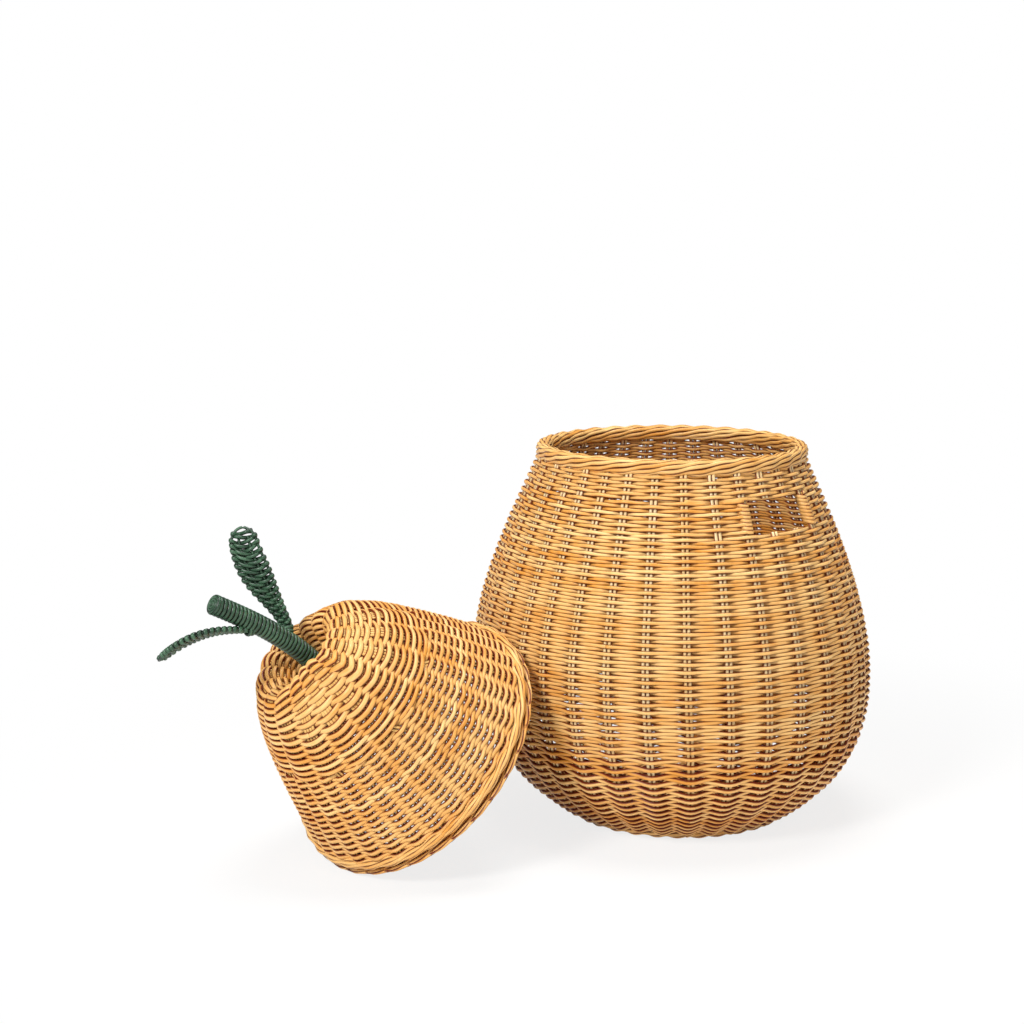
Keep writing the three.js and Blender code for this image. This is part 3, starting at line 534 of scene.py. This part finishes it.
dimple = (lid["dimpleRadius"], lid["crestHeight"] - lid["dimpleDepth"])
crest = (lid["crestRadius"], lid["crestHeight"])
lidFoot = (lid["footRadius"], lid["footHeight"])
lidLine = makeLine(
    bezier([lidFoot,
            (lidFoot[0] - lid["reach"] * math.sin(lid["lean"]),
             lidFoot[1] + lid["reach"] * math.cos(lid["lean"])),
            (crest[0] + lid["crestReach"], crest[1]), crest], 60),
    bezier([crest, (crest[0] - lid["dimpleReachOut"], crest[1]),
            (dimple[0] + lid["dimpleReachIn"], dimple[1]), dimple], 30))


# Share that the lip leans at a point, and how far its rows are drawn apart there
def lipShares(points):
    radius = np.hypot(points[:, 0], points[:, 1])
    fromLip = (np.arctan2(points[:, 1], points[:, 0]) - lid["lipAngle"] + math.pi) % fullTurn - math.pi
    faced = np.exp(-(fromLip / lid["lipSpread"]) ** 2)
    inward = 1 - smooth(lid["crestRadius"], lid["crestRadius"] + lid["lipReach"], radius)
    risen = smooth(lid["dimpleRadius"] + 5, lid["crestRadius"], radius)
    return faced * inward * risen, faced * inward * (1 - inward)


# The crown is folded: each side between two folds is drawn in, from the shoulder up over the crest,
# and the front lip leans in over the stem
def foldCrown(points):
    foldTurn = fullTurn / len(lid["foldShares"])
    angle = np.arctan2(points[:, 1], points[:, 0])
    turned = (angle - lid["foldAngle"]) % fullTurn
    side = np.minimum((turned / foldTurn).astype(int), len(lid["foldShares"]) - 1)
    flatSide = math.cos(foldTurn / 2) / np.cos(turned - (side + 0.5) * foldTurn)
    risen = smooth(lid["foldStart"], lid["crestHeight"], points[:, 2])
    radius = np.hypot(points[:, 0], points[:, 1])
    spread = smooth(lid["dimpleRadius"] + 5, lid["crestRadius"], radius)
    scale = 1 - lid["foldShares"][side] * risen * spread * (1 - flatSide)
    lipShare, _ = lipShares(points)
    folded = points * np.stack([scale - lid["lip"] * lipShare] * 2 + [np.ones_like(scale)], -1)
    folded[:, 2] += lid["lipRise"] * lipShare
    return folded


def foldCane(cane):
    points = np.asarray(cane["points"])
    return {**cane, "points": foldCrown(points), "width": cane["width"] * (1 + 1.7 * lipShares(points)[1])}


def layLidCanes(name, canes, material, nodes, sides=caneSides):
    placed = [{**cane, "points": leanLid(cane["points"]), "out": np.asarray(cane["out"]) @ lidAxes.T}
              for cane in canes]
    layCanes(name, placed, material, "lid", nodes, sides)


def lidStakeAngle(index):
    return lid["firstStake"] + index * fullTurn / lid["stakePairs"]


def lidGroupAngle(index):
    return lid["firstGroup"] + index * fullTurn / lid["stakeGroups"]


lidTones = np.random.default_rng(23)
lowerWeave = {
    "columns": lid["stakePairs"], "segments": 8, "angle": lidStakeAngle, "spacing": 24, "stakeThickness": 3.6,
    "squeeze": 0.06, "drift": 0.25, "caneTurns": (1.6, 3.4),
    "pitch": lambda distance: 3.66 + 0 * distance, "width": lambda distance: 5.4,
    "thickness": lambda distance: 4, "bow": lambda distance: 0.4, "hug": lambda distance: 2.2,
}
crownWeave = {**lowerWeave, "columns": lid["stakeGroups"], "segments": 12, "spacing": 28,
              "angle": lidGroupAngle, "hug": lambda distance: 1.1 - 0.3 * smooth(150, 200, distance),
              "pitch": lambda distance: 3.35 - 0.25 * smooth(120, 190, distance),
              "thickness": lambda distance: 3.9 - 1 * smooth(190, 240, distance),
              "width": lambda distance: 5.5 - 1.4 * smooth(190, 240, distance)}
lidEnd = lidLine["reach"][-1]
lowerRows = spiralWeave(lidLine, lowerWeave, 0, lid["gatherAt"], lidTones)
crownRows = spiralWeave(lidLine, crownWeave, lid["gatherAt"], lidEnd, lidTones)
for name, rows in (("lidWeaveLower", lowerRows), ("lidWeaveCrown", crownRows)):
    layLidCanes(name, [foldCane(cane) for cane in rows], weaverRattan, ["lid_weave"])

# Its stakes: 33 pairs that gather two by two into 17 broad groups and run over the crest to the stem
lidPair = {"asides": (-1.9, 1.9), "diameter": 3.4}
lidStakeRows = []


def drawnTogether(distance):
    return 1 - lid["drawn"] * smooth(lid["drawnFrom"], lid["drawnTo"], distance)


for stake in range(1, lid["stakePairs"] + 1):
    group = (stake - 1) // 2
    partner = 0 if stake == lid["stakePairs"] else (-1 if stake % 2 else 1)
    low = lidStakeAngle(stake)
    high = lidGroupAngle(group)

    def gathered(distance, low=low, high=high, partner=partner):
        share = smooth(lid["gatherAt"] - lid["gatherFrom"], lid["gatherAt"] + lid["gatherTo"], distance)
        radius = linePlace(lidLine, distance)[0][:, 0]
        aside = partner * lid["groupHalf"] * drawnTogether(distance) / radius
        return low * (1 - share) + (high + aside) * share

    end = lidEnd - (0 if partner >= 0 else lid["outerStop"])
    lidStakeRows += stakeCanes(lidLine, gathered, -4, end, lidPair, lidTones, drawnTogether, 5)
layLidCanes("lidStakes", [foldCane(cane) for cane in lidStakeRows], lidStakeRattan,
            ["lid_stakes"])

lidBorder = {
    "units": lid["stakePairs"], "firstAngle": lid["firstStake"], "centre": (138.6, 28.6),
    "half": (7.4, 5.4), "squareness": 2.2,
    "asides": (0,), "cane": 4.6, "span": 8.5, "laps": 0.9, "startShare": -0.25, "tuck": 0.8, "steps": 76,
    "ripple": 0.5, "pinch": 0, "dive": 1.5, "jitter": 0.06,
    "core": [(-3, 0), (0, 0), (3, 0)], "coreWidth": 3,
}
# the course below it, which is smaller and closer
lidCourse = {**lidBorder, "centre": (139.8, 18.8), "half": (6.5, 3.5), "cane": 3.8, "span": 6.5, "steps": 60,
             "dive": 1.0, "core": [(-2, 0), (2, 0)], "coreWidth": 2.4}
layLidCanes("lidBorder", rolledBorder(lidBorder, lidTones) + rolledBorder(lidCourse, lidTones), borderRattan,
            ["lid_border"])
seatBorder = {
    "units": lid["stakePairs"], "firstAngle": lid["firstStake"], "centre": (123.5, 6.6),
    "half": (4.6, 6.6), "squareness": 2.2, "asides": (-0.5, 0.5),
    "cane": 3.6, "span": 4.4, "laps": 0.86, "startShare": -0.25, "tuck": 0.7, "steps": 50,
    "ripple": 0.5, "pinch": 0.2, "dive": 1.4, "jitter": 0.04,
    "core": [(0, -2), (0, 2)], "coreWidth": 3,
}
seatLine = makeLine(np.array([[123.5, 12.0], [123.5, 20.0], [124.5, 28.0]]))
seatCanes = rolledBorder(seatBorder, lidTones)
seatWeave = {**lowerWeave, "pitch": lambda distance: 3.9 + 0 * distance, "thickness": lambda distance: 3.1}
seatCanes += spiralWeave(seatLine, seatWeave, 0, 15.6, lidTones)
for stake in range(lid["stakePairs"]):
    seatCanes += stakeCanes(seatLine, lidStakeAngle(stake), -4, 16, lidPair, lidTones, step=4)
layLidCanes("lidSeatRing", seatCanes, borderRattan, ["lid_seat_ring"])
print("lid woven")


# Posts of the hand holes: the weavers turn back round the stakes, eight turns one over the other
post = {
    "across": 4.6, "through": 4.8, "turns": 8, "width": 4.6, "thickness": 3.4, "squareness": 0.2, "steps": 20,
}
postSides = [("RightFront", rightHole[0], "right_front"), ("RightBack", rightHole[1], "right_back"),
             ("LeftBack", leftHole[0], "left_back"), ("LeftFront", leftHole[1], "left_front")]
for label, stake, node in postSides:
    angle = float(stakeAngle(stake))
    turns = np.linspace(0, post["turns"], post["turns"] * post["steps"] + 1)
    circle = np.stack([np.cos(fullTurn * turns), np.sin(fullTurn * turns)], -1)
    squared = np.sign(circle) * np.abs(circle) ** (1 - post["squareness"])
    risen = 0.5 + turns * (post["turns"] - 1) / post["turns"]
    place, _, _ = linePlace(wallLine, holeLow + (holeHigh - holeLow) * risen / post["turns"])
    outDirection = np.array([math.sin(angle), -math.cos(angle), 0])
    sideDirection = np.array([math.cos(angle), math.sin(angle), 0])
    points = outDirection * (place[:, :1] + post["through"] * squared[:, 1:])
    points = points + sideDirection * post["across"] * squared[:, :1]
    points[:, 2] = place[:, 1]
    normal = sideDirection * circle[:, :1] + outDirection * circle[:, 1:]
    binding = {"points": points, "out": normal, "width": post["width"], "thickness": post["thickness"],
               "tone": 0.6}
    layBasketCanes(f"handHolePost{label}", [binding], weaverRattan,
                   [f"hand_hole_post_{node}"])

# Base: two canes twined round the arms of a crossed star of sticks
base = {
    "arms": 16, "inner": 13, "outer": 103, "cane": 2.8, "height": 6.3, "stick": 3.4, "pitch": 3.4,
    "stickAside": 2.1, "stickWidth": 4.1, "stickSteps": 40,
}
baseTurns = (base["outer"] - base["inner"]) / (2 * base["pitch"])
baseCanes = []
for phase in (0, 1):
    turns = np.linspace(0, baseTurns, int(baseTurns * base["arms"] * 6))
    radius = base["inner"] + 2 * base["pitch"] * turns + phase * base["pitch"]
    angle = wall["firstStake"] + turns * fullTurn
    swing = np.cos(turns * base["arms"] * math.pi + phase * math.pi)
    height = base["height"] + swing * (base["stick"] + base["cane"]) / 2
    baseCanes.append({"points": revolve(angle, np.stack([radius, height], -1)), "out": upward(len(turns)),
                      "width": base["cane"] * 1.15, "thickness": base["cane"], "tone": 0.4 + 0.2 * phase})
layBasketCanes("baseWeave", baseCanes, weaverRattan, ["base_weave"])
stickCanes = []
for stick in range(base["arms"] // 2):
    angle = wall["firstStake"] + stick * math.pi / (base["arms"] // 2)
    reach = np.linspace(-base["outer"], base["outer"], base["stickSteps"])
    for aside in (-base["stickAside"], base["stickAside"]):
        points = np.stack([reach * math.sin(angle) + aside * math.cos(angle),
                           aside * math.sin(angle) - reach * math.cos(angle),
                           np.full(base["stickSteps"], base["height"])], -1)
        stickCanes.append({"points": points, "out": upward(base["stickSteps"]), "width": base["stickWidth"],
                           "thickness": base["stick"], "tone": 0.6})
layBasketCanes("baseSticks", stickCanes, stakeRattan, ["base_sticks"])
print("posts and base woven")


# Cane dyed dark green, with a dull sheen where it bends over. The dye took unevenly, in patches 12 mm
# across; its sides are darkened, partly by pooled dye and partly as painted shade; its streaks are 9 mm long
dyedTones = {
    "ramp": [(0.5, "1F3828"), (0.8, "33543C"), (1.0, "4E7256")], "stainAndShadeColour": "3C4A3C", "stainAndShade": 0.85,
    "streakScale": (110, 16, 1), "patchScale": 80.0, "sides": (0.4, 0.95), "gloss": (0.3, 0.5),
}
# its side mask darkens the green cane's sides: painted shade, and partly dye pooled there
greenCane, dyeStreaks, dyePatches, dyeStainAndShade = canePatterns("greenDyedCane", dyedTones)
dyeMixed = addNode(greenCane.node_tree, "ShaderNodeMath", {"operation": "MULTIPLY_ADD", 1: 0.6}, {
    0: dyeStreaks.outputs[0], 2: dyePatches.outputs[0]})
finishCane(greenCane, dyedTones, dyeMixed.outputs[0], dyeStreaks, dyeStainAndShade)
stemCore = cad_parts["stem_core"]
stemCore.data.materials.clear()
stemCore.data.materials.append(greenCane)

# Stem: a core wound closely with cane from its foot in the dimple to its tip
stem = {
    "foot": (1.5, 0, 157.6), "reachBelow": (-9, 0, 60),
    "tip": (15.8, -8.3, 316.3), "reachAbove": (-11, 4, -46),
    "radius": 8.7, "tipShare": 0.98, "width": 4.4, "cane": 3.6, "pitch": 4.55, "start": 12, "steps": 24,
    "sides": 10, "endGap": 0.8,
    "disc": 10.2, "discThickness": 2.5, "discTurns": 3.2, "discWidth": 3.0, "discPitch": 2.7, "discSink": 0.6,
}


def curveThrough(corners):
    points = bezier(corners, 200)
    return {"points": points, "along": unit(np.gradient(points, axis=0)), "reach": reachAlong(points)}


def curvePlace(curve, distance):
    return [np.stack([np.interp(distance, curve["reach"], curve[key][:, axis]) for axis in range(3)], -1)
            for key in ("points", "along")]


stemFoot = np.array(stem["foot"], float)
stemTip = np.array(stem["tip"], float)
stemCurve = curveThrough([stemFoot, stemFoot + stem["reachBelow"], stemTip + stem["reachAbove"], stemTip])
stemLength = stemCurve["reach"][-1]


def stemRing(distance, turns, radius):
    point, along = curvePlace(stemCurve, distance)
    side = unit(np.cross(np.array([0.0, 1.0, 0.0]), along))
    up = np.cross(along, side)
    out = side * np.cos(fullTurn * turns)[:, None] + up * np.sin(fullTurn * turns)[:, None]
    return point + out * np.reshape(radius, (-1, 1)), out


windingEnd = stemLength - stem["discThickness"] - stem["endGap"]
windingTurns = (windingEnd - stem["start"]) / stem["pitch"] + 1
turns = np.linspace(0, windingTurns, int(windingTurns * stem["steps"]))
distance = np.minimum(stem["start"] + turns * stem["pitch"], windingEnd)
radius = stem["radius"] * (1 - (1 - stem["tipShare"]) * distance / stemLength)
points, normals = stemRing(distance, turns, radius)
winding = {"points": points, "out": normals, "width": stem["width"], "thickness": stem["cane"], "tone": 0.5}
layLidCanes("stemWinding", [winding], greenCane, ["stem_wrap"], stem["sides"])
turns = np.linspace(0, stem["discTurns"], 100)
radius = stem["disc"] - stem["discWidth"] / 2 - turns * stem["discPitch"]
distance = stemLength - stem["discThickness"] / 2 - stem["discSink"] * (1 - turns / stem["discTurns"])
points, _ = stemRing(distance, turns, radius)
coil = {"points": points, "out": curvePlace(stemCurve, distance)[1], "width": stem["discWidth"],
        "thickness": stem["discThickness"], "tone": 0.5}
layLidCanes("stemTipCoil", [coil], greenCane, ["stem_end_disc"])

# Leaves: four ribs out of the stem, with one thick cane woven to and fro between them. The rows slant,
# and sag a little away from the tip
leaves = [
    {
        "name": "uprightLeaf", "node": "upright_leaf", "root": (-1.7, -1.5, 226),
        "across": (-0.82, 0.45, -0.36),
        "route": [(-24.2, -6.9, 1.2), (-26.3, -21.2, 71.3), (-66.9, -36, 89.2)],
        "slant": -0.4, "sag": 0.3, "pitch": 3.5, "lift": 2.4,
        "halfWidths": [(0.0, 8), (0.1, 7.4), (0.2, 7.8), (0.3, 9.7), (0.4, 12.1), (0.5, 14.8), (0.6, 16.6),
                       (0.7, 16.9), (0.8, 16.2), (0.9, 15), (1, 14)],
    },
    {
        "name": "droopingLeaf", "node": "drooping_leaf", "root": (4, -4.1, 264.5),
        "across": (0.125, 0.742, 0.653),
        "route": [(13.6, 0.3, -10.7), (18.8, 0.2, 48.5), (80.9, -26.9, 52)],
        "slant": 0.3, "sag": 0.3, "pitch": 2.6, "lift": 1.5,
        "halfWidths": [(0.0, 4), (0.12, 5.5), (0.22, 7.5), (0.35, 11), (0.47, 14), (0.6, 16.8), (0.72, 16.8),
                       (0.84, 15.5), (0.93, 14), (1, 13)],
    },
]
leafWork = {
    "width": 4.1, "edgeWidth": 5.2, "thickness": 3.6, "cap": 13, "start": 0.07, "steps": 24,
    "rib": 2.9, "ribAt": (-0.9, -0.36, 0.36, 0.9), "ribStart": 6, "outerStop": 0.1, "innerStop": 9,
    "knotAt": 9, "knotTurns": 2.6, "knotPitch": 3.2, "knotAcross": 5.2,
    "knotWidth": 3.8, "knotThickness": 3.2,
}


def leafFrame(leaf, distance):
    point, along = curvePlace(leaf["curve"], distance)
    up = unit(np.cross(np.array(leaf["across"]), along))
    return point, np.cross(along, up), up


def leafHalf(leaf, distance):
    share = distance / leaf["curve"]["reach"][-1]
    stops = np.array(leaf["halfWidths"])
    fine = np.linspace(0, 1, 101)
    padded = np.pad(np.interp(fine, stops[:, 0], stops[:, 1]), 6, mode="edge")
    eased = np.convolve(padded, np.ones(13) / 13, "valid")
    left = np.clip((leaf["curve"]["reach"][-1] - distance) / leafWork["cap"], 0.01, 1)
    return np.interp(share, fine, eased) * np.sqrt(1 - (1 - left) ** 2)


for leaf in leaves:
    root = np.array(leaf["root"], float)
    leaf["curve"] = curveThrough([root] + [root + point for point in np.array(leaf["route"], float)])
    length = leaf["curve"]["reach"][-1]
    ribs = []
    for spread in leafWork["ribAt"]:
        end = length - (leafWork["outerStop"] if abs(spread) > 0.5 else leafWork["innerStop"])
        ribStart = leafWork["ribStart"]
        distance = ribStart + (end - ribStart) * np.sin(np.linspace(0, math.pi / 2, 60))
        point, side, up = leafFrame(leaf, distance)
        half = np.clip(leafHalf(leaf, distance) - leafWork["width"] / 2, 0.5, None)
        aside = spread * smooth(4, 14, distance) * half
        ribs.append({"points": point + side * aside[:, None], "out": up, "width": leafWork["rib"],
                     "thickness": leafWork["rib"], "tone": 0.4})
    layLidCanes(f"{leaf['name']}Ribs", ribs, greenCane, [f"{leaf['node']}_frame"])
    start = leafWork["start"] * length
    rows = int((length - 1 - start) / leaf["pitch"])
    phase = np.linspace(0, rows, rows * leafWork["steps"] + 1)
    distance = start + phase * leaf["pitch"]
    across = -np.cos(math.pi * phase)
    closing = smooth(0.72, 0.92, distance / length)
    opening = 1 - smooth(0.8, 1.0, distance / length)
    shear = leaf["slant"] * across * (1 - closing) + (leaf["sag"] + 0.3 * closing) * (across ** 2 - 0.6)
    shear = shear * opening * leafHalf(leaf, distance) * smooth(0.04, 0.25, distance / length)
    distance = np.clip(distance + shear, 3, length - leafWork["width"] / 2)
    half = np.clip(leafHalf(leaf, distance) - leafWork["width"] / 2, 0.8, None)
    lift = leaf["lift"] * np.sin(4 * math.pi * phase)
    point, side, up = leafFrame(leaf, distance)
    points = point + side * (across * half)[:, None] + up * lift[:, None]
    along = curvePlace(leaf["curve"], distance)[1]
    width = leafWork["width"] + (leafWork["edgeWidth"] - leafWork["width"]) * across ** 6
    weave = {"points": points, "out": np.cross(unit(np.gradient(points, axis=0)), along), "width": width,
             "thickness": leafWork["thickness"], "tone": 0.5}
    phase = np.linspace(0, leafWork["knotTurns"], 60)
    distance = leafWork["knotAt"] + (phase - leafWork["knotTurns"] / 2) * leafWork["knotPitch"]
    point, side, up = leafFrame(leaf, distance)
    turned = side * np.cos(fullTurn * phase)[:, None] + up * np.sin(fullTurn * phase)[:, None]
    knot = {"points": point + turned * leafWork["knotAcross"], "out": turned, "width": leafWork["knotWidth"],
            "thickness": leafWork["knotThickness"], "tone": 0.5}
    layLidCanes(f"{leaf['name']}Weave", [weave, knot], greenCane, [f"{leaf['node']}_weave"])
print("stem and leaves woven")


# Stage: pale floor and backdrop that look white to the camera, and soft studio lamps
def paleFloor():
    material = bpy.data.materials.new("paleFloor")
    material.use_nodes = True
    tree = material.node_tree
    shader = tree.nodes["Principled BSDF"]
    shader.inputs["Base Color"].default_value = hexColour("F4F3F1")
    shader.inputs["Roughness"].default_value = 0.9
    shader.inputs["Specular IOR Level"].default_value = 0.1
    rays = addNode(tree, "ShaderNodeLightPath")
    glow = addNode(tree, "ShaderNodeEmission", {"Color": (1, 1, 1, 1), "Strength": 1.0})
    seen = addNode(tree, "ShaderNodeMath", {"operation": "MAXIMUM"}, {
        0: rays.outputs["Is Camera Ray"], 1: rays.outputs["Is Glossy Ray"]})
    through = addNode(tree, "ShaderNodeMath", {"operation": "MAXIMUM"}, {
        0: seen.outputs[0], 1: rays.outputs["Is Transmission Ray"]})
    place = addNode(tree, "ShaderNodeTexCoord")
    away = addNode(tree, "ShaderNodeVectorMath", {"operation": "LENGTH"}, {0: place.outputs["Object"]})
    near, far = stage["shadowReach"]
    fade = addNode(tree, "ShaderNodeMapRange", {
        "interpolation_type": "SMOOTHSTEP", "From Min": near, "From Max": far, "To Min": stage["white"]},
        {0: away.outputs["Value"]})
    share = addNode(tree, "ShaderNodeMath", {"operation": "MULTIPLY"},
                    {0: through.outputs[0], 1: fade.outputs[0]})
    mixed = addNode(tree, "ShaderNodeMixShader", links={
        0: share.outputs[0], 1: shader.outputs[0], 2: glow.outputs[0]})
    tree.links.new(mixed.outputs[0], tree.nodes["Material Output"].inputs[0])
    return material


stage = {
    "white": 0.8, "shadowReach": (0.3, 0.9), "floorSize": 30,
    "cameraPlace": (-0.1724, -2.2, 0.7066), "cameraPitch": -9.71, "lens": 72.2,
    "lamps": [
        ("keyLamp", (-1.5, -2.2, 2.0), (0.0, 0.0, 0.2), 0.8, 70),
        ("fillLamp", (2.2, -1.8, 1.1), (0.0, 0.0, 0.2), 1.6, 11),
        ("topLamp", (0.1, 0.0, 2.6), (0.0, 0.0, 0.2), 1.2, 42),
    ],
    "worldLight": 0.22,
}
bpy.ops.mesh.primitive_plane_add(size=stage["floorSize"], location=(0, 0, -0.0005))
floor = bpy.context.object
floor.name = "floor"
floor.data.materials.append(paleFloor())
for name, place, target, size, power in stage["lamps"]:
    lampData = bpy.data.lights.new(name, "AREA")
    lampData.shape = "DISK"
    lampData.size = size
    lampData.energy = power
    lamp = bpy.data.objects.new(name, lampData)
    lamp.location = place
    lamp.rotation_euler = (Vector(target) - Vector(place)).to_track_quat("-Z", "Y").to_euler()
    bpy.context.collection.objects.link(lamp)

world = bpy.data.worlds.new("studio")
world.use_nodes = True
bpy.context.scene.world = world
worldTree = world.node_tree
backLight = worldTree.nodes["Background"]
backLight.inputs["Color"].default_value = (1, 1, 1, 1)
worldRays = addNode(worldTree, "ShaderNodeLightPath")
worldStrength = addNode(worldTree, "ShaderNodeMapRange", {"To Min": stage["worldLight"], "To Max": 1.0},
                        {0: worldRays.outputs["Is Camera Ray"]})
worldTree.links.new(worldStrength.outputs[0], backLight.inputs["Strength"])
bpy.context.scene.view_settings.view_transform = "Standard"

cameraData = bpy.data.cameras.new("camera")
cameraData.lens = stage["lens"]
cameraData.sensor_width = 36
camera = bpy.data.objects.new("camera", cameraData)
camera.location = stage["cameraPlace"]
camera.rotation_euler = (math.radians(90 + stage["cameraPitch"]), 0, 0)
bpy.context.collection.objects.link(camera)
bpy.context.scene.camera = camera
